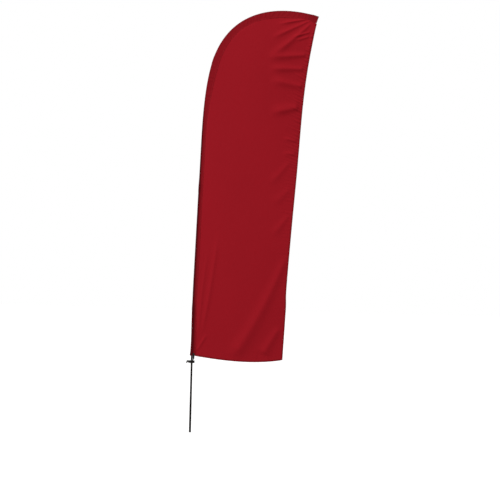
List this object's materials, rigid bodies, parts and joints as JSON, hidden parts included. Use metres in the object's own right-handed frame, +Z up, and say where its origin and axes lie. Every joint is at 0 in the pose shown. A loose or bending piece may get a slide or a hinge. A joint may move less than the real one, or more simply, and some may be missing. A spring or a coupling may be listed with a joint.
{
  "type": "feather flag with pole",
  "caption": "Feather flag on a bent sectional pole: sleeve and hemmed panel, clamp collar with hook and elastic tie loop, and a turning socket in the butt end.",
  "frame": {"origin": "centre of the pole's butt end, where it sits on the shoulder of a base's spindle", "axes": "+Z up along the lowest pole section, +X from the pole towards the flag panel, -Y the front face of the flag"},
  "size_m": [1.0574, 0.0457, 3.6262],
  "materials": {
    "flag_cloth": "satin",
    "hem_cloth": "matte",
    "composite_pole": "satin",
    "joint_metal": "satin",
    "black_plastic": "satin",
    "bush_nylon": "satin",
    "liner_rubber": "matte",
    "loop_elastic": "matte",
    "webbing": "matte",
    "nut_steel": "satin"
  },
  "bodies": {
    "spindle_bush": {"bearing_bush": "bush_nylon"},
    "pole_base": {"butt_socket": "black_plastic", "base_section": "composite_pole", "lower_joint_ferrule": "joint_metal"},
    "flag": {"lower_mid_section": "composite_pole", "middle_joint_ferrule": "joint_metal", "upper_mid_section": "composite_pole", "upper_joint_ferrule": "joint_metal", "tip_section": "composite_pole", "tip_cap": "black_plastic", "sleeve_cuff": "hem_cloth", "pole_sleeve": "flag_cloth", "tip_pocket": "hem_cloth", "flag_panel": "flag_cloth", "trailing_hem": "hem_cloth", "bottom_hem": "hem_cloth", "elastic_loop": "loop_elastic", "loop_tab": "webbing"},
    "collar": {"tension_collar": "black_plastic", "collar_liner": "liner_rubber", "clamp_nut": "nut_steel"},
    "screw": {"clamp_screw": "black_plastic"}
  },
  "joints": [
    {"name": "pole_swivel", "type": "hinge", "parent": "spindle_bush", "child": "pole_base", "pos_m": [0, 0, 0], "axis": [0, 0, 1], "continuous": true},
    {"name": "section_pull_apart", "type": "slide", "parent": "pole_base", "child": "flag", "axis": [0, 0, 1], "range_m": [0, 0.1]},
    {"name": "collar_slide", "type": "slide", "parent": "flag", "child": "collar", "axis": [0, 0, 1], "range_m": [-0.06, 0.012], "deforming": ["elastic_loop"]},
    {"name": "clamp_screw_turn", "type": "hinge", "parent": "collar", "child": "screw", "pos_m": [0.0172, 0, 0.603], "axis": [0, 1, 0], "range_deg": [0, 450]}
  ]
}
